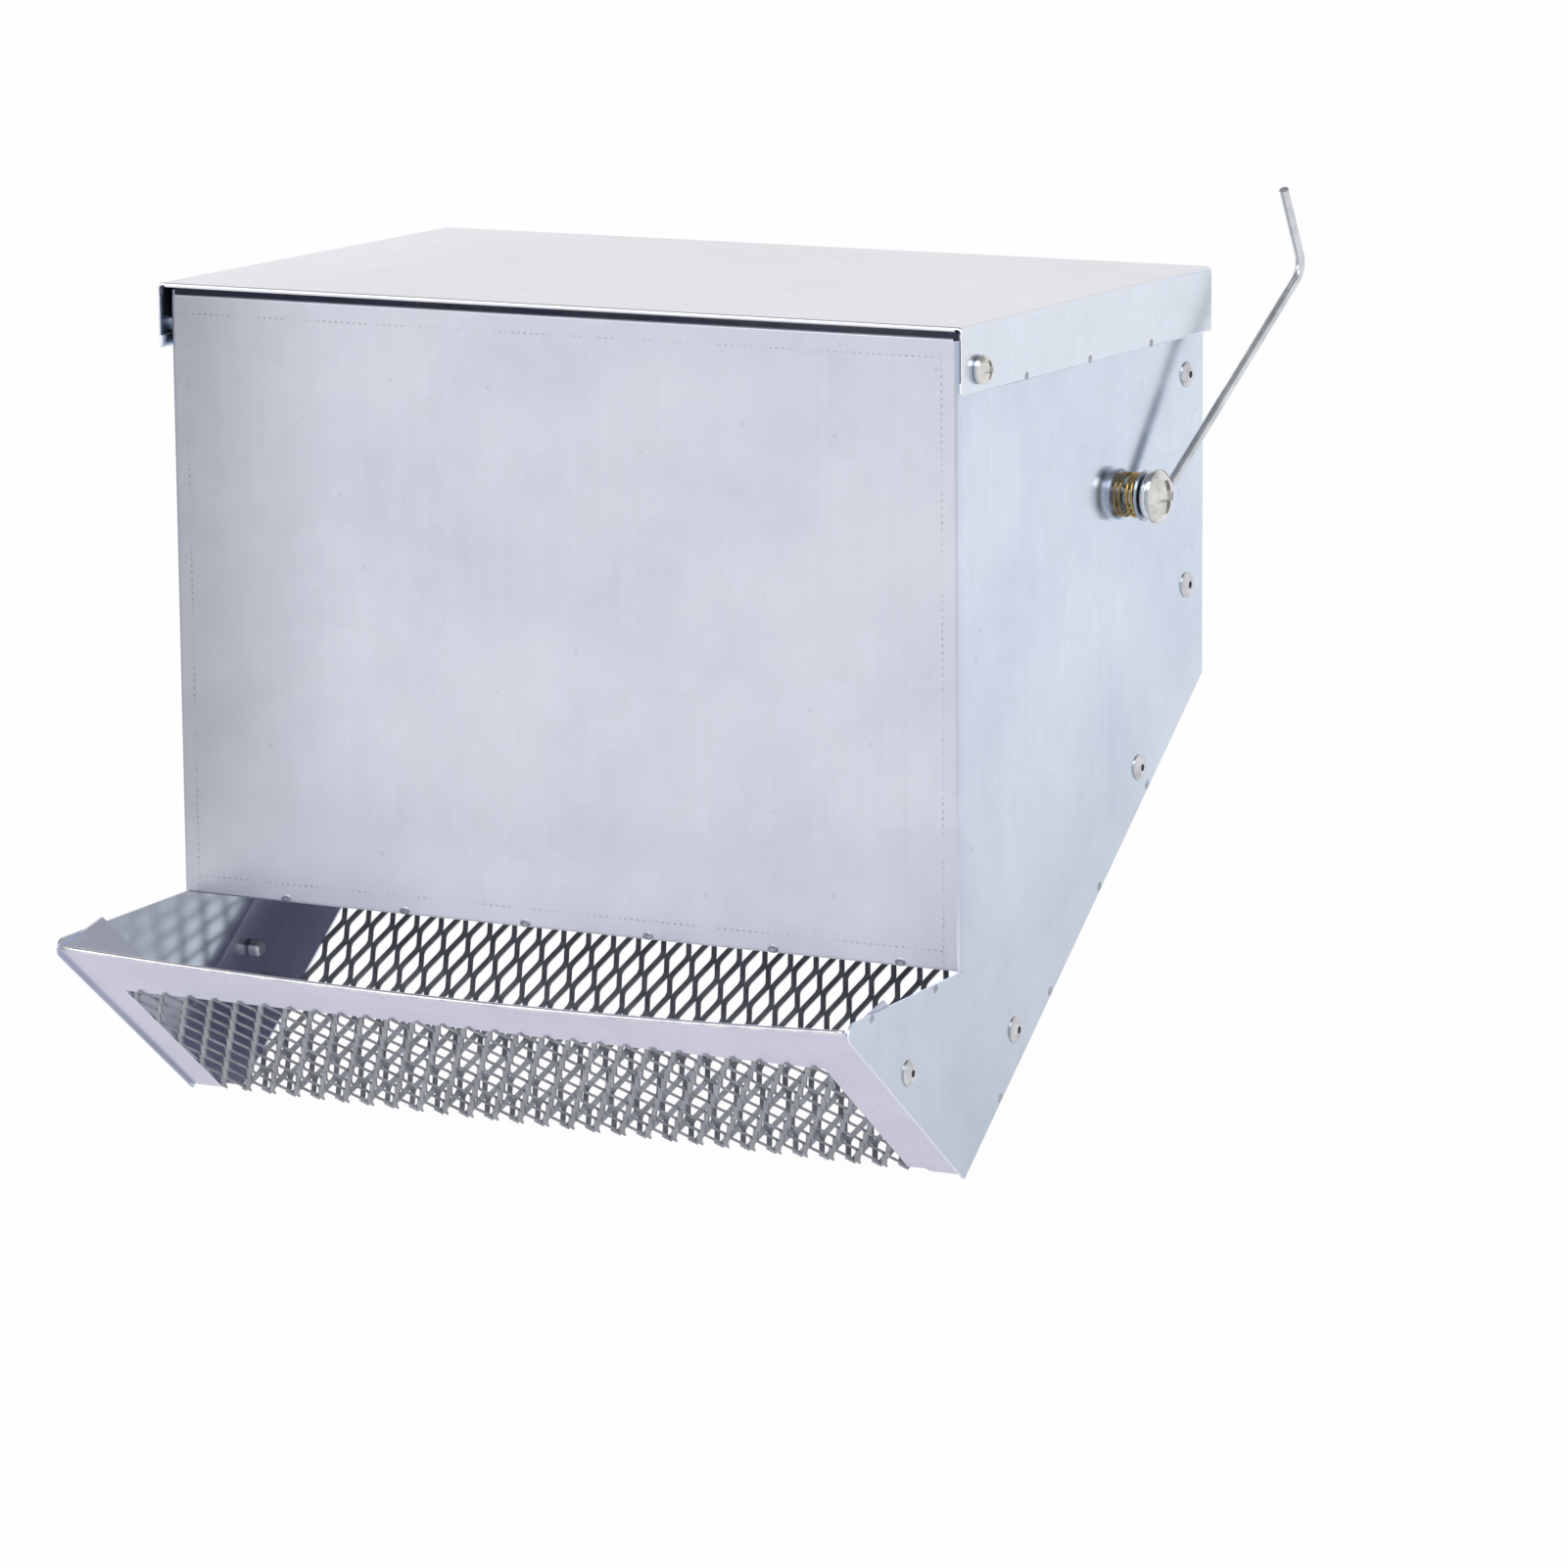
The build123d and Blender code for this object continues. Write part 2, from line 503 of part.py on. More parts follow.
def coil_point(plane, turn, low):
    """Centre of the spring's wire and its direction after a number of turns."""
    angle = 2 * math.pi * turn
    height = low + SPRING_PITCH * turn
    point = plane.from_local_coords(Vector(SPRING_R * math.cos(angle), SPRING_R * math.sin(angle), height))
    ahead = Vector(-math.sin(angle), math.cos(angle), SPRING_PITCH / (2 * math.pi * SPRING_R))
    return point, plane.from_local_coords(ahead) - plane.origin


def spring(plane):
    """A compression spring standing on a plane: one tube through half turns."""
    with BuildPart() as piece:
        with BuildLine() as wire:
            for half in range(2 * SPRING_TURNS):
                start, start_dir = coil_point(plane, half / 2, SPRING_WIRE_R)
                end, end_dir = coil_point(plane, (half + 1) / 2, SPRING_WIRE_R)
                biarc(start, start_dir.normalized(), end, end_dir.normalized())
        with BuildSketch(Plane(origin=wire.line @ 0, z_dir=wire.line % 0)):
            Circle(SPRING_WIRE_R)
        sweep()
    return piece.part


def bent_wire(route):
    """One wire swept along a route."""
    with BuildPart() as piece:
        with BuildSketch(Plane(origin=route @ 0, z_dir=route % 0)):
            Circle(WIRE_R)
        sweep(path=route)
    return piece.part


eye_r = HOOK_SCREW_R + HOOK_EYE_GAP + WIRE_R
washer_bore = HOOK_SCREW_R + WASHER_GAP
panel_back = -SHEET

for side_name, x_side in (("left", -1), ("right", 1)):
    with BuildPart() as rivets:
        for spot in rivet_spots:
            add(rivet(outward(x_side, spot)))
    finish(rivets.part, f"rivets_{side_name}")

    pivot = outward(x_side, pivot_spot)
    skirt_level = LID_SIDE_GAP + SHEET + PIVOT_PLAY
    finish(ring(pivot, skirt_level, skirt_level + WASHER_THICKNESS, PIVOT_WASHER_R, PIVOT_SCREW_R + SHANK_GAP),
           f"lid_washer_{side_name}")
    finish(screw(pivot, PIVOT_SCREW_R, PIVOT_HEAD_R, PIVOT_HEAD_H, skirt_level + WASHER_THICKNESS,
                 SHEET + PIVOT_SCREW_REACH), f"lid_screw_{side_name}")
    finish(nut(pivot, panel_back - PIVOT_NUT_H, panel_back, PIVOT_NUT_AF, PIVOT_SCREW_R + SHANK_GAP),
           f"lid_nut_{side_name}")

    hook_plane = outward(x_side, hook_spot)
    with BuildLine() as hook_route:
        turn = HOOK_TURNS[side_name]
        level = x_side * (half_width + eye_level)
        centre = Vector(level, hook_spot.X, hook_spot.Y)
        lean = math.atan2(HOOK_LEG[2], HOOK_LEG[1]) + math.radians(turn)
        leave = lean - math.pi / 2
        cut_end = math.radians(HOOK_EYE_END + turn)
        halfway = (cut_end + leave + 2 * math.pi) / 2
        eye_points = [centre + Vector(0, math.cos(a), math.sin(a)) * eye_r for a in (cut_end, halfway, leave)]
        ThreePointArc(*eye_points)
        bend = centre + Vector(x_side * HOOK_LEG[0], HOOK_LEG[1], HOOK_LEG[2]).rotate(Axis.X, turn)
        start = eye_points[2]
        rise = start + Vector(0, math.cos(lean), math.sin(lean)) * HOOK_LEG_START
        end = bend + Vector(*HOOK_TIP).rotate(Axis.X, turn)
        FilletPolyline(start, rise, bend, end, radius=HOOK_BEND_R)
    finish(bent_wire(hook_route.line), f"hook_{side_name}")

    finish(spring(hook_plane), f"hook_spring_{side_name}")
    finish(ring(hook_plane, washer_low, washer_high, WASHER_R, washer_bore), f"hook_washer_{side_name}")
    finish(screw(hook_plane, HOOK_SCREW_R, HOOK_HEAD_R, HOOK_HEAD_H, head_level, SHEET + HOOK_SCREW_REACH),
           f"hook_screw_{side_name}")
    finish(ring(hook_plane, panel_back - WASHER_THICKNESS, panel_back, WASHER_R, washer_bore),
           f"hook_inner_washer_{side_name}")
    nut_high = panel_back - WASHER_THICKNESS
    finish(nut(hook_plane, nut_high - HOOK_NUT_H, nut_high, HOOK_NUT_AF, HOOK_SCREW_R + SHANK_GAP),
           f"hook_nut_{side_name}")

# Rear bail: keyhole eye, two spread legs and a bar whose lapped ends pass each other
bail_plane = Plane(origin=(bail_spot.X, BODY_DEPTH, bail_spot.Y), x_dir=(-1, 0, 0), z_dir=(0, 1, 0))
throat = eye_r + BAIL_THROAT_R
throat_angle = math.asin((BAIL_THROAT_R + WIRE_R + BAIL_GAP) / throat)
bail_level = bail_plane.offset(eye_level)


def on_bail(point):
    """A point of the bail, given along its length from the screw and sideways from its middle line."""
    return bail_level.from_local_coords(point)


with BuildPart() as rear_bail:
    with BuildLine() as bail_route:
        for v_side, bar_reach in ((1, BAIL_LEG), (-1, BAIL_LEG - 2 * WIRE_R - BAIL_GAP)):
            leave_eye = Vector(math.cos(throat_angle), v_side * math.sin(throat_angle))
            throat_centre = leave_eye * throat
            corner = Vector(bar_reach, v_side * BAIL_BAR / 2)
            sight = corner - throat_centre
            spread = math.atan2(v_side * sight.Y, sight.X) + math.asin(BAIL_THROAT_R / sight.length)
            leave_throat = Vector(math.sin(spread), -v_side * math.cos(spread))
            leg_start = throat_centre + leave_throat * BAIL_THROAT_R
            throat_mid = throat_centre + (leave_throat - leave_eye).normalized() * BAIL_THROAT_R
            bar_end = Vector(bar_reach, -v_side * BAIL_LAP)
            ThreePointArc(on_bail(leave_eye * eye_r), on_bail(throat_mid), on_bail(leg_start))
            FilletPolyline(on_bail(leg_start), on_bail(corner), on_bail(bar_end), radius=BAIL_CORNER_R)
        eye_mouth = Vector(math.cos(throat_angle), math.sin(throat_angle)) * eye_r
        ThreePointArc(on_bail(eye_mouth), on_bail(Vector(-eye_r, 0)), on_bail(Vector(eye_mouth.X, -eye_mouth.Y)))
    route = bail_route.wire()
    with BuildSketch(Plane(origin=route @ 0, z_dir=route % 0)):
        Circle(WIRE_R)
    sweep(path=route)
finish(rear_bail.part, "rear_bail")
print("bail", rear_bail.part.is_valid, round(rear_bail.part.volume / (math.pi * WIRE_R**2 * route.length), 4))

finish(spring(bail_plane), "bail_spring")
finish(ring(bail_plane, washer_low, washer_high, WASHER_R, washer_bore), "bail_washer")
finish(screw(bail_plane, HOOK_SCREW_R, HOOK_HEAD_R, HOOK_HEAD_H, head_level, SHEET + HOOK_SCREW_REACH), "bail_screw")
finish(ring(bail_plane, panel_back - WASHER_THICKNESS, panel_back, WASHER_R, washer_bore), "bail_inner_washer")
finish(nut(bail_plane, nut_high - HOOK_NUT_H, nut_high, HOOK_NUT_AF, HOOK_SCREW_R + SHANK_GAP), "bail_nut")

# The springs' least gap between one turn and the next, on points of the wire's centre line
steps = 48
centres = [coil_point(bail_plane, i / steps, 0)[0] for i in range(SPRING_TURNS * steps + 1)]
least = min((centres[i] - centres[j]).length
            for i in range(len(centres)) for j in range(i + steps // 2, len(centres)))
print("least gap between spring turns:", round(least - 2 * SPRING_WIRE_R, 3), "mm")
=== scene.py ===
"""Looks of the galvanised rabbit feeder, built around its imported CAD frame.

Sizes are in millimetres, in the frame of the CAD: the origin is the centre of the
front panel's outer face, -Y points into the cage and +Z is up.
"""
from __future__ import annotations

import logging
import math
from dataclasses import dataclass
from enum import Enum

import bpy
from mathutils import Matrix, Vector

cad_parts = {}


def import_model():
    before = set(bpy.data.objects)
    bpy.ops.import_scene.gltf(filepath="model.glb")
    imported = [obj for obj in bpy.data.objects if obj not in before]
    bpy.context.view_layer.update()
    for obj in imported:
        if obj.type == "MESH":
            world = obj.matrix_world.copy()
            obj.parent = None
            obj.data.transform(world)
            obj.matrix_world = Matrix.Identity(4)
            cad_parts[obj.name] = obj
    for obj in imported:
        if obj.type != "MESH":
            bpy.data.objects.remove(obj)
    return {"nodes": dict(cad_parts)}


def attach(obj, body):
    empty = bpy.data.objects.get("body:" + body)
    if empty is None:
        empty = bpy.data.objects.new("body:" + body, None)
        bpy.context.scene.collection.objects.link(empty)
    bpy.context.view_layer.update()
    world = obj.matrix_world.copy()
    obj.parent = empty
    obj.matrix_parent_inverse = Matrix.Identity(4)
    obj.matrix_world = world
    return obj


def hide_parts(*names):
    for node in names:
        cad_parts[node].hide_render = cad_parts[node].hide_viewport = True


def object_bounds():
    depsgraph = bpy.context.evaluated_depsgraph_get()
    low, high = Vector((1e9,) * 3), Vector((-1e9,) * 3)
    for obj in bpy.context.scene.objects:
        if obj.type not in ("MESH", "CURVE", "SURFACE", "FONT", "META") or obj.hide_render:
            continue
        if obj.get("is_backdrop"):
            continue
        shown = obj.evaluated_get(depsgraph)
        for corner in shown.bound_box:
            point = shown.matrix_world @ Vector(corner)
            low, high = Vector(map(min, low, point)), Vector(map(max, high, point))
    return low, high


Span = tuple[float, float]
Place = tuple[float, float, float]
Input = float | tuple[float, float, float, float] | bpy.types.NodeSocket

LOG = logging.getLogger("feeder")
MM = 0.001

# The sheet-metal body, as in the part's source
BODY_WIDTH = 216.0
BODY_DEPTH = 133.0
SHEET = 0.6
LIP_Z = -74.5
TOP_Z = 74.5
FOLD = (1.2, -124.5)            # lowest fold: y, z
TIP = (-61.0, -76.0)            # cheek tip
REAR_CORNER = (133.0, -24.0)    # rear slope meets the rear panel
PAN_RECESS = 0.8
SKIRT_X = 110.1                 # lid skirt's outer face
SKIRT_LOW = 61.4
NET_WIDTH = 192.0
FRONT_NET_SHIFT = -2.6
REAR_NET_SHIFT = 3.0
FRONT_NET_RISE = 54.0
REAR_NET_RISE = 149.0


class Slot(Enum):
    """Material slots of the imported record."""

    SHEET = "galvanised_sheet"


def linear(colour: str) -> tuple[float, float, float, float]:
    """Turn a colour as seen on a screen into the linear one that shaders take.

    Args:
        colour: Six hex digits after a hash, in sRGB.

    Returns:
        Linear red, green and blue, and an alpha of 1.
    """
    parts = [int(colour[i:i + 2], 16) / 255 for i in (1, 3, 5)]
    red, green, blue = [c / 12.92 if c <= 0.04045 else ((c + 0.055) / 1.055) ** 2.4 for c in parts]
    return red, green, blue, 1.0


def add_node(tree: bpy.types.NodeTree, kind: str, settings: dict | None = None,
             inputs: dict | None = None) -> bpy.types.Node:
    """Add a shader node with its settings, and with values or links on its inputs.

    Args:
        tree: The node tree that gets the node.
        kind: Type of the node, after "ShaderNode".
        settings: Properties of the node.
        inputs: A value or an output socket for each input, by name or number.

    Returns:
        The new node.
    """
    node = tree.nodes.new("ShaderNode" + kind)
    for name, value in (settings or {}).items():
        setattr(node, name, value)
    for name, value in (inputs or {}).items():
        if isinstance(value, bpy.types.NodeSocket):
            tree.links.new(value, node.inputs[name])
        else:
            node.inputs[name].default_value = value
    return node


def new_material(name: str) -> tuple[bpy.types.Material, bpy.types.NodeTree]:
    """Make an empty node material.

    Args:
        name: Name of the material.

    Returns:
        The material and its node tree.
    """
    material = bpy.data.materials.new(name)
    material.use_nodes = True
    material.node_tree.nodes.clear()
    return material, material.node_tree


def per_metre(size_mm: float) -> float:
    """Scale of a texture whose features are this many millimetres across."""
    return 1.0 / (size_mm * MM)


def combine(tree: bpy.types.NodeTree, operation: str, first: Input, second: Input) -> bpy.types.NodeSocket:
    """Join two values by arithmetic.

    Args:
        tree: The node tree.
        operation: Name of the arithmetic, such as MULTIPLY.
        first: A value or an output socket.
        second: A value or an output socket.

    Returns:
        The result's output.
    """
    return add_node(tree, "Math", {"operation": operation}, {0: first, 1: second}).outputs[0]


def ramp(tree: bpy.types.NodeTree, value: Input, edges: Span = (0.0, 1.0), ends: Span = (0.0, 1.0),
         smooth: bool = False) -> bpy.types.NodeSocket:
    """Carry a value from one range to another, held at both ends.

    Args:
        tree: The node tree.
        value: The value or output socket.
        edges: Where the range starts and ends.
        ends: What it gives there.
        smooth: Whether it eases in and out.

    Returns:
        The result's output.
    """
    settings = {"interpolation_type": "SMOOTHSTEP" if smooth else "LINEAR"}
    return add_node(tree, "MapRange", settings, {"Value": value, "From Min": edges[0], "From Max": edges[1],
                                                 "To Min": ends[0], "To Max": ends[1]}).outputs[0]


def mix_values(tree: bpy.types.NodeTree, share: Input, first: Input, second: Input) -> bpy.types.NodeSocket:
    """Pass from one value to another.

    Args:
        tree: The node tree.
        share: 0 for the first value, 1 for the second.
        first: A value or an output socket.
        second: A value or an output socket.

    Returns:
        The result's output.
    """
    return add_node(tree, "Mix", inputs={0: share, 2: first, 3: second}).outputs[0]


def mix_colours(tree: bpy.types.NodeTree, share: Input, first: Input, second: Input,
                mode: str = "MIX") -> bpy.types.NodeSocket:
    """Pass from one colour to another, or multiply them.

    Args:
        tree: The node tree.
        share: 0 for the first colour, 1 for the full effect of the second.
        first: A colour or an output socket.
        second: A colour or an output socket.
        mode: How the second colour acts on the first.

    Returns:
        The result's output.
    """
    settings = {"data_type": "RGBA", "blend_type": mode}
    return add_node(tree, "Mix", settings, {0: share, 6: first, 7: second}).outputs[2]


@dataclass(frozen=True)
class GalvanisedSheet:
    """Hot-dip galvanised steel, skin-passed: a cool grey zinc with a soft, cloudy sheen.

    The zinc's crystals give faint patches, rolling gives fine upright streaks, and
    handling leaves a few dirt specks. Painted reflection tints the sides bluer, and painted shade and light
    vary the zinc by height and towards -X.
    """

    name: str
    light: str
    dark: str
    # Sides' colours: the same zinc painted bluer, as painted reflection on faces that look sideways
    side_reflection_light: str
    side_reflection_dark: str
    roughness: float = 0.42
    side_roughness: float = 0.24
    roughness_swing: float = 0.1
    side_edges: Span = (0.5, 0.7)       # how far a face looks sideways as it takes the sides' gloss and their colour, a painted reflection tint
    cloud_mm: float = 46.0
    cloud_edges: Span = (0.36, 0.64)
    spangle_mm: float = 7.0
    spangle_tones: Span = (0.985, 1.015)
    streak_mm: float = 1.6
    streak_length_mm: float = 70.0
    streak_edges: Span = (0.3, 0.7)
    streak_tones: Span = (0.985, 1.01)
    grain_mm: float = 0.9               # real grain is finer; this is the least that the render shows
    grain_share: float = 0.012          # height of the grain over that of the sheet's slow waves
    wave_mm: float = 38.0
    relief_strength: float = 0.35
    relief_mm: float = 0.35
    shade_left: float = 0.0             # painted shade: how much darker the panel gets towards -X; below 0 it is painted light
    shade_span: Span = (-1.05, -0.5)    # where that painted shade is full and where it ends, over half the width
    die_marks: bool = False
    dot_inset_mm: float = 4.6           # from the front panel's edges to the press's dotted line
    dot_mm: float = 1.7
    dot_half_width_mm: float = 0.22
    dot_depth: float = 0.3
    dot_wear_mm: float = 9.0
    dot_wear_edges: Span = (0.42, 0.6)
    speck_mm: float = 11.0              # spacing of the dirt specks
    speck_edges: Span = (0.02, 0.075)
    speck_depth: float = 0.14
    top_tone: float = 1.0               # painted shade: brightness at the body's top, over that lower down
    hem_painted_light: float = 0.0               # painted light: how much brighter the front gets at its lower hem
    hem_reach_mm: float = 26.0
    side_low_tone: float = 1.0          # painted shade: brightness of the sides' lower end

    def build(self) -> bpy.types.Material:
        """Make the material.

        Returns:
            The node material.
        """
        material, tree = new_material(self.name)
        place = add_node(tree, "TexCoord")
        where = place.outputs["Object"]
        facing = add_node(tree, "SeparateXYZ", inputs={0: place.outputs["Normal"]})
        sideways = add_node(tree, "Math", {"operation": "ABSOLUTE"}, {0: facing.outputs["X"]})
        on_side = ramp(tree, sideways.outputs[0], self.side_edges)
        cloud = add_node(tree, "TexNoise", inputs={"Vector": where, "Scale": per_metre(self.cloud_mm),
                                                   "Detail": 5.0, "Roughness": 0.55}).outputs[0]
        cloudy = ramp(tree, cloud, self.cloud_edges)
        front = mix_colours(tree, cloudy, linear(self.dark), linear(self.light))
        # painted reflection: faces that look sideways take the bluer copy of the zinc
        side = mix_colours(tree, cloudy, linear(self.side_reflection_dark), linear(self.side_reflection_light))
        colour = mix_colours(tree, on_side, front, side)
        colour = mix_colours(tree, 1.0, colour, self.shading(tree, where, on_side), "MULTIPLY")
        matt = ramp(tree, on_side, ends=(self.roughness, self.side_roughness))
        uneven = ramp(tree, cloud, ends=(-self.roughness_swing, self.roughness_swing))
        grain = add_node(tree, "TexNoise", inputs={"Vector": where, "Scale": per_metre(self.grain_mm),
                                                   "Detail": 2.0})
        waves = add_node(tree, "TexNoise", inputs={"Vector": where, "Scale": per_metre(self.wave_mm),
                                                   "Detail": 1.0})
        relief = add_node(tree, "Math", {"operation": "MULTIPLY_ADD"},
                          {0: grain.outputs[0], 1: self.grain_share, 2: waves.outputs[0]})
        bump = add_node(tree, "Bump", inputs={"Height": relief.outputs[0], "Strength": self.relief_strength,
                                              "Distance": self.relief_mm * MM})
        metal = add_node(tree, "BsdfPrincipled", inputs={"Base Color": colour, "Metallic": 1.0,
                                                         "Roughness": combine(tree, "ADD", matt, uneven),
                                                         "Normal": bump.outputs[0]})
        add_node(tree, "OutputMaterial", inputs={"Surface": metal.outputs[0]})
        return material

    def shading(self, tree: bpy.types.NodeTree, where: bpy.types.NodeSocket,
                on_side: bpy.types.NodeSocket) -> bpy.types.NodeSocket:
        """Work out how much lighter or darker the zinc is from place to place: streaks, crystals and dirt
        specks, with painted shade and light by height and towards -X.

        Args:
            tree: The material's node tree.
            where: Output that gives the place on the piece.
            on_side: Output that is 1 on faces that look sideways, 0 on the others.

        Returns:
            A factor near 1 that multiplies the colour.
        """
        fine = per_metre(self.streak_mm)
        stretched = add_node(tree, "Mapping", inputs={
            "Vector": where, "Scale": (fine, fine, per_metre(self.streak_length_mm))})
        streaks = add_node(tree, "TexNoise", inputs={"Vector": stretched.outputs[0], "Scale": 1.0,
                                                     "Detail": 3.0})
        spangle = add_node(tree, "TexVoronoi", {"feature": "F1"},
                           {"Vector": where, "Scale": per_metre(self.spangle_mm)})
        crystal = add_node(tree, "SeparateXYZ", inputs={0: spangle.outputs["Color"]})
        tone = combine(tree, "MULTIPLY", ramp(tree, streaks.outputs[0], self.streak_edges, self.streak_tones),
                       ramp(tree, crystal.outputs["X"], ends=self.spangle_tones))
        spot = add_node(tree, "SeparateXYZ", inputs={0: where})
        # painted shade darkens the panel towards -X; a shade_left below 0 paints light there instead
        if self.shade_left:
            half_width = BODY_WIDTH / 2 * MM
            across = ramp(tree, spot.outputs["X"], tuple(share * half_width for share in self.shade_span),
                          (1 - self.shade_left, 1.0), smooth=True)
            tone = combine(tree, "MULTIPLY", tone, mix_values(tree, on_side, across, 1.0))
        # painted shade towards the top and painted light at the lower hem on the front; painted shade towards
        # the lower end on the sides
        high = spot.outputs["Z"]
        fall = ramp(tree, high, (LIP_Z * MM, TOP_Z * MM), (1.0, self.top_tone))
        hem = ramp(tree, high, (LIP_Z * MM, (LIP_Z + self.hem_reach_mm) * MM), (1 + self.hem_painted_light, 1.0),
                   smooth=True)
        side = ramp(tree, high, (FOLD[1] * MM, 0.0), (self.side_low_tone, 1.0))
        upright = mix_values(tree, on_side, combine(tree, "MULTIPLY", fall, hem), side)
        tone = combine(tree, "MULTIPLY", tone, upright)
        speck = add_node(tree, "TexVoronoi", {"feature": "F1"},
                         {"Vector": where, "Scale": per_metre(self.speck_mm)})
        specks = ramp(tree, speck.outputs["Distance"], self.speck_edges, (1 - self.speck_depth, 1.0))
        tone = combine(tree, "MULTIPLY", tone, specks)
        if self.die_marks:
            dots = mix_values(tree, on_side, self.dotted_edge(tree, where, spot), 1.0)
            tone = combine(tree, "MULTIPLY", tone, dots)
        return tone

    def dotted_edge(self, tree: bpy.types.NodeTree, where: bpy.types.NodeSocket,
                    spot: bpy.types.Node) -> bpy.types.NodeSocket:
        """Draw the press's row of faint dots, a few millimetres in from the front panel's edges.

        Args:
            tree: The material's node tree.
            where: Output that gives the place on the piece.
            spot: Node that gives x, y and z of the place.

        Returns:
            A factor that is below 1 on a dot.
        """
        marks = []
        for axis, other, half_size in (("X", "Z", BODY_WIDTH / 2), ("Z", "X", TOP_Z)):
            far = add_node(tree, "Math", {"operation": "ABSOLUTE"}, {0: spot.outputs[axis]})
            near_line = add_node(tree, "Math", {"operation": "COMPARE"},
                                 {0: far.outputs[0], 1: (half_size - self.dot_inset_mm) * MM,
                                  2: self.dot_half_width_mm * MM})
            wave = combine(tree, "PINGPONG", spot.outputs[other], self.dot_mm / 2 * MM)
            on_dot = combine(tree, "GREATER_THAN", wave, self.dot_mm / 4 * MM)
            marks.append(combine(tree, "MULTIPLY", near_line.outputs[0], on_dot))
        worn = add_node(tree, "TexNoise", inputs={"Vector": where, "Scale": per_metre(self.dot_wear_mm),
                                                  "Detail": 2.0})
        left = ramp(tree, worn.outputs[0], self.dot_wear_edges)
        inked = combine(tree, "MULTIPLY", combine(tree, "MAXIMUM", *marks), left)
        return ramp(tree, inked, ends=(1.0, 1.0 - self.dot_depth))


@dataclass(frozen=True)
class BareMetal:
    """Small plated or bare metal parts: one metal with slight unevenness from plating and drawing."""

    name: str
    light: str
    dark: str
    roughness: float
    patch_mm: float
    patch_edges: Span = (0.35, 0.65)
    roughness_swing: float = 0.08
    bump_strength: float = 0.4
    bump_mm: float = 0.02
    metallic: float = 1.0       # below 1 where oxide dulls the metal

    def build(self) -> bpy.types.Material:
        """Make the material.

        Returns:
            The node material.
        """
        material, tree = new_material(self.name)
        where = add_node(tree, "TexCoord").outputs["Object"]
        patches = add_node(tree, "TexNoise", inputs={"Vector": where, "Scale": per_metre(self.patch_mm),
                                                     "Detail": 4.0, "Roughness": 0.6}).outputs[0]
        spread = ramp(tree, patches, self.patch_edges)
        colour = mix_colours(tree, spread, linear(self.dark), linear(self.light))
        rough = ramp(tree, patches, ends=(self.roughness - self.roughness_swing,
                                          self.roughness + self.roughness_swing))
        bump = add_node(tree, "Bump", inputs={"Height": patches, "Strength": self.bump_strength,
                                              "Distance": self.bump_mm * MM})
        metal = add_node(tree, "BsdfPrincipled", inputs={"Base Color": colour, "Metallic": self.metallic,
                                                         "Roughness": rough, "Normal": bump.outputs[0]})
        add_node(tree, "OutputMaterial", inputs={"Surface": metal.outputs[0]})
        return material


# Hopper: cool matt zinc on the front, glossier on the sides and painted bluer there as reflection; painted
# shade towards -X, the top and the sides' lower end, painted light at the lower hem
HOPPER_ZINC = GalvanisedSheet("galvanised_sheet_hopper", "#D1D3DE", "#C7CAD6", "#D5DEED", "#C8D2E2",
                              side_roughness=0.14, shade_left=0.36, die_marks=True, top_tone=0.85,
                              hem_painted_light=0.24, side_low_tone=0.78, cloud_edges=(0.32, 0.62))
# Lid: the palest sheet; its skirts painted bluer as reflection, and painted light towards -X
LID_ZINC = GalvanisedSheet("galvanised_sheet_lid", "#E8E8EE", "#DFE0E7", "#E1E7F2", "#DAE1EC",
                           roughness=0.34, shade_left=-0.06, cloud_edges=(0.25, 0.75))
# Pan: thin sheet with a faint lavender cast, a painted reflection
PAN_ZINC = GalvanisedSheet("galvanised_sheet_pan", "#CFCDDF", "#C0C0D2", "#C6CBDA", "#B4BACA", roughness=0.3)
# Rear panel: like the hopper, with larger crystals
REAR_ZINC = GalvanisedSheet("galvanised_sheet_rear", "#D6D8E1", "#C2C5D0", "#D2D8E3", "#C2C8D4",
                            roughness=0.36, spangle_mm=12.0)
# Slit and stretched sheet: sheared faces without zinc, so darker and rougher than the sheet
SLIT_ZINC = BareMetal("slit_and_stretched_galvanised_sheet", "#A6A8B1", "#85878F", 0.46, 6.0, metallic=0.72)
# Zinc in the press dents and crimps: painted a little darker than the sheet round it, as the dents' shade
DENT_SHADE_ZINC = BareMetal("press_dent_painted_shade_zinc", "#B4B9C5", "#8B909C", 0.35, 1.5)
# Rolled lip: burnished by the rollers, so brighter and smoother than the plate
LIP_ZINC = BareMetal("burnished_rolled_zinc", "#DEDEE6", "#BDBDCA", 0.22, 5.0)
# Drawn wire, bright zinc: smooth with narrow, crisp highlights
ZINC_WIRE = BareMetal("bright_zinc_drawn_wire", "#DFE2E6", "#B9BEC4", 0.2, 9.0)
# Cold-headed screws and nuts, zinc-plated: the shiniest pieces
ZINC_SCREW = BareMetal("zinc_plated_cold_headed_steel", "#E6E4E0", "#C4C3C2", 0.17, 4.0)
# Stamped washers, zinc-plated: flat and slightly satin
ZINC_WASHER = BareMetal("zinc_plated_stamped_steel", "#CDD2D8", "#A8AEB6", 0.26, 5.0)
# Blind rivets: soft aluminium with a satin skin
ALUMINIUM_RIVET = BareMetal("satin_aluminium", "#DADBDD", "#B7B9BD", 0.3, 3.0)
# Springs: hard-drawn wire, yellow chromate over zinc, so golden with greenish patches
YELLOW_SPRING = BareMetal("yellow_chromate_spring_wire", "#C6A662", "#8A7442", 0.24, 2.5)


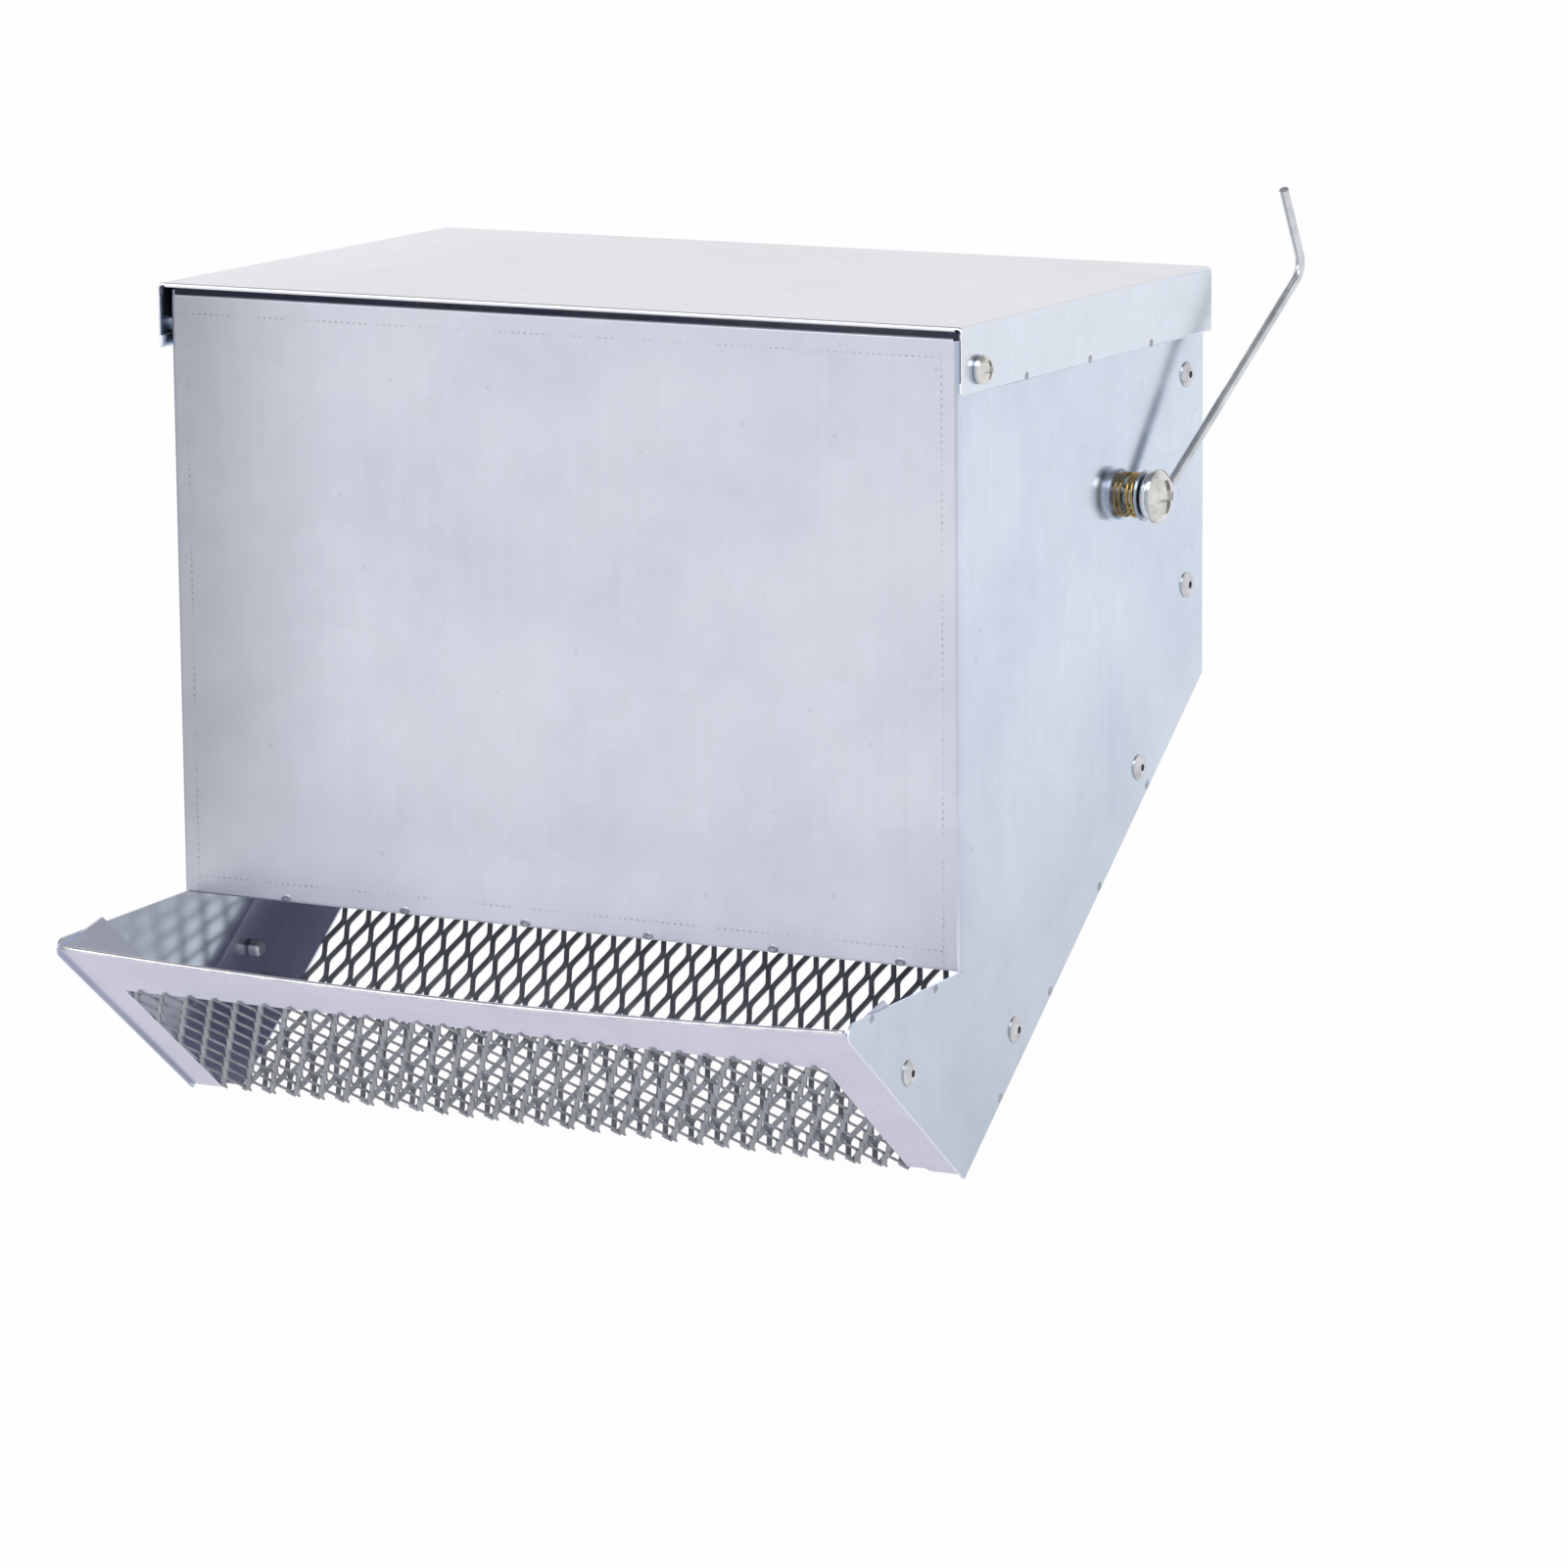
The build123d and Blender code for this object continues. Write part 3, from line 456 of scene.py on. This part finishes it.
def dress(node: bpy.types.Object, material: bpy.types.Material) -> None:
    """Put a material in every slot of a piece.

    Args:
        node: The piece.
        material: Its finish.
    """
    for slot in node.material_slots:
        slot.material = material
    if not node.material_slots:
        node.data.materials.append(material)


def new_piece(name: str, points: list[Vector], faces: list[tuple[int, ...]], material: bpy.types.Material) -> bpy.types.Object:
    """Make a mesh piece with one material.

    Args:
        name: Name of the piece.
        points: Its vertices in millimetres.
        faces: Its faces, as vertex numbers.
        material: Its finish.

    Returns:
        The new object.
    """
    mesh = bpy.data.meshes.new(name)
    mesh.from_pydata([p * MM for p in points], [], faces)
    mesh.materials.append(material)
    mesh.validate()
    piece = bpy.data.objects.new(name, mesh)
    bpy.context.scene.collection.objects.link(piece)
    return piece


@dataclass
class SifterMesh:
    """The pan's raised expanded mesh: every slit of the sheet opened, over both slopes and the fold."""

    columns: int = 27
    rear_half_rows: int = 24
    front_half_rows: int = 9
    strand_width: float = 1.4
    strand_thickness: float = 0.6
    lean: float = 20.0              # degrees: each strand's width out of the sheet's plane
    at_fold: float = 1e-6           # a station this close to the fold lies on both slopes
    # A half row's shape: how far along it each station is, and how far over to its neighbour
    stations: tuple[Span, ...] = ((0.0, 0.0), (0.1, 0.02), (0.24, 0.18), (0.76, 0.82), (0.9, 0.98))

    def frames(self) -> tuple[Vector, Vector, Vector, Vector, Vector]:
        """Work out the two slopes' directions.

        Returns:
            Middle of the folded sheet at the fold, then the rear slope's direction and inward
            normal, then the front slope's.
        """
        fold, tip, rear = Vector(FOLD), Vector(TIP), Vector(REAR_CORNER)
        rear_along = (rear - fold).normalized()
        front_along = (tip - fold).normalized()
        rear_in = Vector((-rear_along.y, rear_along.x))
        front_in = Vector((front_along.y, -front_along.x))
        depth = PAN_RECESS + SHEET / 2
        middle = (rear_in + front_in).normalized()
        start = fold + middle * (depth / middle.dot(rear_in))
        return start, rear_along, rear_in, front_along, front_in

    def place(self, x: float, rise: float, out: float) -> Vector:
        """Point on the folded mesh.

        Args:
            x: Place across the body.
            rise: Distance up the rear slope from the fold, or if negative up the front slope.
            out: Distance off the sheet's middle, inward.

        Returns:
            The point in the body's frame.
        """
        start, rear_along, rear_in, front_along, front_in = self.frames()
        if abs(rise) < self.at_fold:
            side = start + (rear_in + front_in).normalized() * out
        elif rise > 0:
            side = start + rear_along * rise + rear_in * out
        else:
            side = start - front_along * rise + front_in * out
        return Vector((x, side.x, side.y))

    def ribbon(self, number: int, shift: float, first: int, last: int, half_row: float) -> list[Place]:
        """Middle line of one strand row, zigzagging between its two neighbours.

        Args:
            number: Which row, from -X.
            shift: Middle of the net across the body.
            first: First half row, counted from the fold.
            last: Last half row.
            half_row: Length of a half row along the slope.

        Returns:
            x, rise and distance off the sheet for each station.
        """
        half_column = NET_WIDTH / self.columns / 2
        left = shift - NET_WIDTH / 2 + number * half_column
        lean = math.radians(self.lean)
        inset = self.strand_width / 2 * math.cos(lean)
        lift = self.strand_width / 2 * math.sin(lean)
        line = []
        for row in range(first, last + 1):
            at_right = (row + number) % 2
            for along, over in self.stations:
                if row == last and along:
                    break
                share = over if not at_right else 1 - over
                x = left + inset + (half_column - 2 * inset) * share
                line.append((x, (row + along) * half_row, lift * (2 * share - 1)))
        return line

    def sweep(self, line: list[Place], points: list[Vector], faces: list[tuple[int, ...]]) -> None:
        """Sweep the strand's leaning section along one row.

        Args:
            line: The row's middle line.
            points: Vertices so far, added to.
            faces: Faces so far, added to.
        """
        lean = math.radians(self.lean)
        wide = Vector((math.cos(lean), 0.0, -math.sin(lean))) * (self.strand_width / 2)
        base = len(points)
        for i, here in enumerate(line):
            before, after = line[max(i - 1, 0)], line[min(i + 1, len(line) - 1)]
            along = Vector(after) - Vector(before)
            thick = along.cross(wide).normalized() * (self.strand_thickness / 2)
            for w, t in ((-1, -1), (1, -1), (1, 1), (-1, 1)):
                spot = Vector(here) + wide * w + thick * t
                points.append(self.place(spot.x, here[1] + (thick.y * t if here[1] else 0.0), spot.z))
        for i in range(len(line) - 1):
            a, b = base + 4 * i, base + 4 * i + 4
            faces.extend((a + k, a + (k + 1) % 4, b + (k + 1) % 4, b + k) for k in range(4))
        end = base + 4 * (len(line) - 1)
        faces.append((base + 3, base + 2, base + 1, base))
        faces.append((end, end + 1, end + 2, end + 3))

    def build(self, material: bpy.types.Material) -> bpy.types.Object:
        """Build the whole mesh as one piece and stand it for both CAD nets.

        Args:
            material: Finish of the slit sheet.

        Returns:
            The new object.
        """
        points: list[Vector] = []
        faces: list[tuple[int, ...]] = []
        for number in range(2 * self.columns):
            rear = self.ribbon(number, REAR_NET_SHIFT, 0, self.rear_half_rows,
                               REAR_NET_RISE / self.rear_half_rows)
            self.sweep(rear, points, faces)
            front = self.ribbon(number, FRONT_NET_SHIFT, -self.front_half_rows, 0,
                                FRONT_NET_RISE / self.front_half_rows)
            self.sweep(front, points, faces)
        net = new_piece("expanded_mesh", points, faces, material)
        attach(net, "hopper")
        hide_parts("front_sifter_net", "rear_sifter_net")
        return net


@dataclass
class PressMarks:
    """Small dents that the folding press left where it closed the hems, and crimps along the rear seam."""

    pitch: float = 34.0
    radius: float = 1.0
    proud: float = 0.1
    sides: int = 16
    front_stretch: float = 1.5      # length of a dent over its width
    edge_stretch: float = 1.3
    skirt_stretch: float = 1.0
    crimp_stretch: float = 1.2
    front_dents: int = 6
    slope_dents: int = 4
    skirt_dents: int = 3
    front_last_x: float = 92.0
    cheek_dents_y: Span = (-13.2, -45.2)
    cheek_fall: float = 0.024       # how fast the cheek's upper edge drops towards its tip
    crimp_radius: float = 1.6
    crimp_rise: float = 1.2         # a crimp's middle above the seam, over its radius
    crimp_pitch: float = 16.2
    crimp_first_x: float = -97.0
    crimps: int = 13
    skirt_first_y: float = 30.9
    slope_first: float = 24.5
    # A dent's section: share of its radius, and share of its height
    rings: tuple[Span, ...] = ((0.0, 0.3), (0.35, 0.45), (0.6, 1.0), (0.8, 0.6), (1.0, 0.0))

    def mark(self, middle: Vector, along: Vector, out: Vector, radius: float, stretch: float,
             points: list[Vector], faces: list[tuple[int, ...]]) -> None:
        """Add one shallow dent with its raised rim.

        Args:
            middle: Its middle on the sheet's outer face.
            along: Direction in which it is stretched.
            out: The face's outward normal.
            radius: Half its width.
            stretch: Length over width.
            points: Vertices so far, added to.
            faces: Faces so far, added to.
        """
        up = out.cross(along).normalized()
        base, sides = len(points), self.sides
        points.append(middle + out * (self.proud * self.rings[0][1]))
        for share, height in self.rings[1:]:
            for i in range(sides):
                turn = 2 * math.pi * i / sides
                points.append(middle + along * (radius * stretch * share * math.cos(turn))
                              + up * (radius * share * math.sin(turn)) + out * (self.proud * height))
        for i in range(sides):
            j = (i + 1) % sides
            faces.append((base, base + 1 + i, base + 1 + j))
            for ring in range(len(self.rings) - 2):
                a, b = base + 1 + ring * sides, base + 1 + (ring + 1) * sides
                faces.append((a + i, b + i, b + j, a + j))

    def hopper_marks(self) -> tuple[list[Vector], list[tuple[int, ...]]]:
        """Dents along the hopper's hemmed and folded edges.

        Returns:
            Vertices and faces.
        """
        made: tuple[list, list] = ([], [])
        inset = self.radius
        for i in range(self.front_dents):
            self.mark(Vector((self.front_last_x - i * self.pitch, 0, LIP_Z + inset)), Vector((1, 0, 0)),
                      Vector((0, -1, 0)), self.radius, self.front_stretch, *made)
        slope = (Vector((0, *REAR_CORNER)) - Vector((0, *FOLD))).normalized()
        inward = Vector((0, -slope.z, slope.y))
        for side in (-1, 1):
            out, face = Vector((side, 0, 0)), Vector((side * BODY_WIDTH / 2, 0, 0))
            for y in self.cheek_dents_y:
                self.mark(face + Vector((0, y, LIP_Z - inset + y * self.cheek_fall)), Vector((0, 1, 0)), out,
                          self.radius, self.edge_stretch, *made)
            for i in range(self.slope_dents):
                rise = self.slope_first + i * self.pitch
                self.mark(face + Vector((0, *FOLD)) + slope * rise + inward * inset, slope, out,
                          self.radius, self.edge_stretch, *made)
        return made

    def skirt_marks(self) -> tuple[list[Vector], list[tuple[int, ...]]]:
        """Dents along the lower edges of the lid's skirts.

        Returns:
            Vertices and faces.
        """
        made: tuple[list, list] = ([], [])
        for side in (-1, 1):
            for i in range(self.skirt_dents):
                y = self.skirt_first_y + i * self.pitch
                self.mark(Vector((side * SKIRT_X, y, SKIRT_LOW + self.radius)), Vector((0, 1, 0)),
                          Vector((side, 0, 0)), self.radius, self.skirt_stretch, *made)
        return made

    def seam_marks(self) -> tuple[list[Vector], list[tuple[int, ...]]]:
        """Crimps that hold the rear panel's lower edge to the pan's tab.

        Returns:
            Vertices and faces.
        """
        made: tuple[list, list] = ([], [])
        for i in range(self.crimps):
            self.mark(Vector((self.crimp_first_x + i * self.crimp_pitch, BODY_DEPTH,
                              REAR_CORNER[1] + self.crimp_rise * self.crimp_radius)),
                      Vector((0, 0, 1)), Vector((0, 1, 0)), self.crimp_radius, self.crimp_stretch, *made)
        return made

    def build(self, finish: bpy.types.Material) -> list[bpy.types.Object]:
        """Build the marks of the hopper, of the lid's skirts and of the rear seam.

        Args:
            finish: Finish of the dents, painted darker as their shade.

        Returns:
            The three new objects.
        """
        made = []
        for name, body, (points, faces) in (("hem_dents", "hopper", self.hopper_marks()),
                                            ("skirt_dents", "lid", self.skirt_marks()),
                                            ("seam_crimps", "hopper", self.seam_marks())):
            piece = new_piece(name, points, faces, finish)
            for face in piece.data.polygons:
                face.use_smooth = True
            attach(piece, body)
            made.append(piece)
        return made


@dataclass
class LipBead:
    """The rolled upper edge of the trough's front plate, which catches the light."""

    setback: float = 4.6
    sag: float = 6.0
    radius: float = 0.62
    half_width: float = 106.6
    steps: int = 64
    sides: int = 12

    def build(self, material: bpy.types.Material) -> bpy.types.Object:
        """Build the bead along the lip's arc.

        Args:
            material: Finish of the burnished lip.

        Returns:
            The new object.
        """
        fold, tip = Vector((0, *FOLD)), Vector((0, *TIP))
        along = (tip - fold).normalized()
        inward = Vector((0, along.z, -along.y))
        top = fold + inward * (PAN_RECESS + SHEET) + along * ((tip - fold).length - self.setback)
        arc_radius = (self.half_width**2 + self.sag**2) / (2 * self.sag)
        points: list[Vector] = []
        faces: list[tuple[int, ...]] = []
        for i in range(self.steps + 1):
            x = self.half_width * (2 * i / self.steps - 1)
            drop = self.sag - (arc_radius - math.sqrt(arc_radius**2 - x**2))
            middle = top - along * drop + Vector((x, 0, 0))
            for k in range(self.sides):
                turn = 2 * math.pi * k / self.sides
                points.append(middle + (along * math.sin(turn) + inward * math.cos(turn)) * self.radius)
        for i in range(self.steps):
            for k in range(self.sides):
                a, b = i * self.sides, (i + 1) * self.sides
                faces.append((a + k, a + (k + 1) % self.sides, b + (k + 1) % self.sides, b + k))
        faces.append(tuple(range(self.sides))[::-1])
        faces.append(tuple(self.steps * self.sides + k for k in range(self.sides)))
        bead = new_piece("lip_bead", points, faces, material)
        for face in bead.data.polygons:
            face.use_smooth = len(face.vertices) == 4
        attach(bead, "hopper")
        return bead


@dataclass
class FrameFinishes:
    """Finishes of the CAD nodes that are shown as they are."""

    nodes: dict[str, bpy.types.Object]

    def finish_of(self, name: str, made: dict[str, bpy.types.Material]) -> bpy.types.Material:
        """Pick the finish of a node by what it is.

        Args:
            name: Name of the node.
            made: Finished materials by kind.

        Returns:
            The node's material.
        """
        if name in made:
            return made[name]
        kinds = (("spring", "spring"), ("washer", "washer"), ("screw", "screw"), ("nut", "screw"),
                 ("rivets", "rivet"), ("hook", "wire"), ("bail", "wire"))
        return made[next(kind for word, kind in kinds if word in name)]

    def build(self, made: dict[str, bpy.types.Material]) -> None:
        """Dress every node.

        Args:
            made: Finished materials by kind.
        """
        for name, node in self.nodes.items():
            dress(node, self.finish_of(name, made))


@dataclass
class Studio:
    """Plain white studio: pale floor, soft lamps, and the camera where the photograph was taken."""

    camera_place: Place = (840.3, -1444.9, 276.4)
    yaw: float = 28.33
    pitch: float = 10.69
    roll: float = -0.49
    lens: float = 162.66
    sensor: float = 36.0
    clip_metres: Span = (0.05, 50.0)
    floor_half: float = 4000.0
    floor_white: float = 0.97       # how far the camera and reflections see the floor as plain white
    sky_strength: float = 0.82
    ceiling_tone: float = 0.4       # the unlit ceiling, which gives wires and screws their dark lines
    ceiling_edges: Span = (0.45, 0.85)      # height of a reflection's direction where it starts and is full
    lamp_target: Place = (0.0, 30.0, -20.0)
    # Each softbox: name, middle, side in millimetres and power in watts
    softboxes: tuple[tuple[str, Place, float, float], ...] = (
        ("key_softbox", (900.0, -900.0, 1300.0), 900.0, 7.0),
        ("front_softbox", (-700.0, -1600.0, 500.0), 900.0, 5.0))

    def build_camera(self) -> None:
        """Aim the camera as the photograph's was."""
        yaw, pitch, roll = (math.radians(a) for a in (self.yaw, self.pitch, self.roll))
        ahead = Vector((-math.sin(yaw) * math.cos(pitch), math.cos(yaw) * math.cos(pitch), -math.sin(pitch)))
        level = Vector((math.cos(yaw), math.sin(yaw), 0.0))
        upright = level.cross(ahead)
        right = level * math.cos(roll) + upright * math.sin(roll)
        up = upright * math.cos(roll) - level * math.sin(roll)
        data = bpy.data.cameras.new("photo_camera")
        data.lens, data.sensor_width = self.lens, self.sensor
        data.clip_start, data.clip_end = self.clip_metres
        camera = bpy.data.objects.new("photo_camera", data)
        turn = Matrix((right, up, -ahead)).transposed().to_4x4()
        camera.matrix_world = Matrix.Translation(Vector(self.camera_place) * MM) @ turn
        bpy.context.scene.collection.objects.link(camera)
        bpy.context.scene.camera = camera

    def build_floor(self, height: float) -> None:
        """Lay the floor under the object: white to the camera and in reflections, clear from below.

        Args:
            height: The floor's level in metres.
        """
        half = self.floor_half * MM
        mesh = bpy.data.meshes.new("studio_floor")
        mesh.from_pydata([(x * half, y * half, height) for x, y in ((-1, -1), (1, -1), (1, 1), (-1, 1))],
                         [], [(0, 1, 2, 3)])
        material, tree = new_material("matt_white_paper")
        path = add_node(tree, "LightPath")
        paper = add_node(tree, "BsdfDiffuse", inputs={"Color": linear("#EDEDEF")})
        white = add_node(tree, "Emission", inputs={"Color": (1, 1, 1, 1), "Strength": 1.0})
        seen = combine(tree, "MAXIMUM", path.outputs["Is Camera Ray"], path.outputs["Is Glossy Ray"])
        share = combine(tree, "MULTIPLY", seen, self.floor_white)
        mixed = add_node(tree, "MixShader", inputs={0: share, 1: paper.outputs[0], 2: white.outputs[0]})
        under = add_node(tree, "NewGeometry").outputs["Backfacing"]
        clear = add_node(tree, "BsdfTransparent")
        upper_only = add_node(tree, "MixShader", inputs={0: under, 1: mixed.outputs[0], 2: clear.outputs[0]})
        add_node(tree, "OutputMaterial", inputs={"Surface": upper_only.outputs[0]})
        mesh.materials.append(material)
        floor = bpy.data.objects.new("studio_floor", mesh)
        bpy.context.scene.collection.objects.link(floor)
        floor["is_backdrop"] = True

    def build_world(self) -> None:
        """Surround the scene with white for the camera, with a dimmer ceiling for reflections."""
        world = bpy.data.worlds.new("white_studio")
        bpy.context.scene.world = world
        world.use_nodes = True
        tree = world.node_tree
        tree.nodes.clear()
        path = add_node(tree, "LightPath")
        seen = combine(tree, "MAXIMUM", path.outputs["Is Camera Ray"], path.outputs["Is Glossy Ray"])
        sky = add_node(tree, "Background", inputs={"Color": linear("#F4F5F9"), "Strength": self.sky_strength})
        upward = add_node(tree, "SeparateXYZ", inputs={0: add_node(tree, "TexCoord").outputs["Generated"]})
        ceiling = ramp(tree, upward.outputs["Z"], self.ceiling_edges, (1.0, self.ceiling_tone), smooth=True)
        bright = combine(tree, "MAXIMUM", path.outputs["Is Camera Ray"], ceiling)
        white = add_node(tree, "Background", inputs={"Color": (1, 1, 1, 1), "Strength": bright})
        mixed = add_node(tree, "MixShader", inputs={0: seen, 1: sky.outputs[0], 2: white.outputs[0]})
        add_node(tree, "OutputWorld", inputs={"Surface": mixed.outputs[0]})

    def build_lamp(self, name: str, place: Place, size: float, power: float) -> None:
        """Hang a square softbox that faces the object.

        Args:
            name: Name of the lamp.
            place: Its middle in millimetres.
            size: Its side in millimetres.
            power: Its power in watts.
        """
        data = bpy.data.lights.new(name, "AREA")
        data.size, data.energy = size * MM, power
        lamp = bpy.data.objects.new(name, data)
        spot = Vector(place) * MM
        lamp.location = spot
        lamp.rotation_mode = "QUATERNION"
        lamp.rotation_quaternion = (Vector(self.lamp_target) * MM - spot).to_track_quat("-Z", "Y")
        bpy.context.scene.collection.objects.link(lamp)

    def build(self, height: float) -> None:
        """Build the studio.

        Args:
            height: The floor's level in metres.
        """
        self.build_camera()
        self.build_floor(height)
        self.build_world()
        for softbox in self.softboxes:
            self.build_lamp(*softbox)
        bpy.context.scene.view_settings.view_transform = "Standard"


def main() -> None:
    """Load the frame, dress it and build what Blender adds."""
    logging.basicConfig(level=logging.INFO, format="%(name)s: %(message)s")
    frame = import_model()
    cad_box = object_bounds()
    made = {
        "hopper_shell": HOPPER_ZINC.build(),
        "lid": LID_ZINC.build(),
        "trough_pan": PAN_ZINC.build(),
        "lip": LIP_ZINC.build(),
        "rear_panel": REAR_ZINC.build(),
        "net": SLIT_ZINC.build(),
        "wire": ZINC_WIRE.build(),
        "screw": ZINC_SCREW.build(),
        "washer": ZINC_WASHER.build(),
        "rivet": ALUMINIUM_RIVET.build(),
        "spring": YELLOW_SPRING.build(),
    }
    made["front_sifter_net"] = made["rear_sifter_net"] = made["net"]
    FrameFinishes(frame["nodes"]).build(made)
    LOG.info("dressed %d frame nodes", len(frame["nodes"]))
    net = SifterMesh().build(made["net"])
    LOG.info("%s: %d faces", net.name, len(net.data.polygons))
    for piece in [*PressMarks().build(DENT_SHADE_ZINC.build()), LipBead().build(made["lip"])]:
        LOG.info("%s: %d faces", piece.name, len(piece.data.polygons))
    Studio().build(cad_box[0].z)
    LOG.info("studio: camera, floor, world and lamps")


if __name__ == "__main__":
    main()
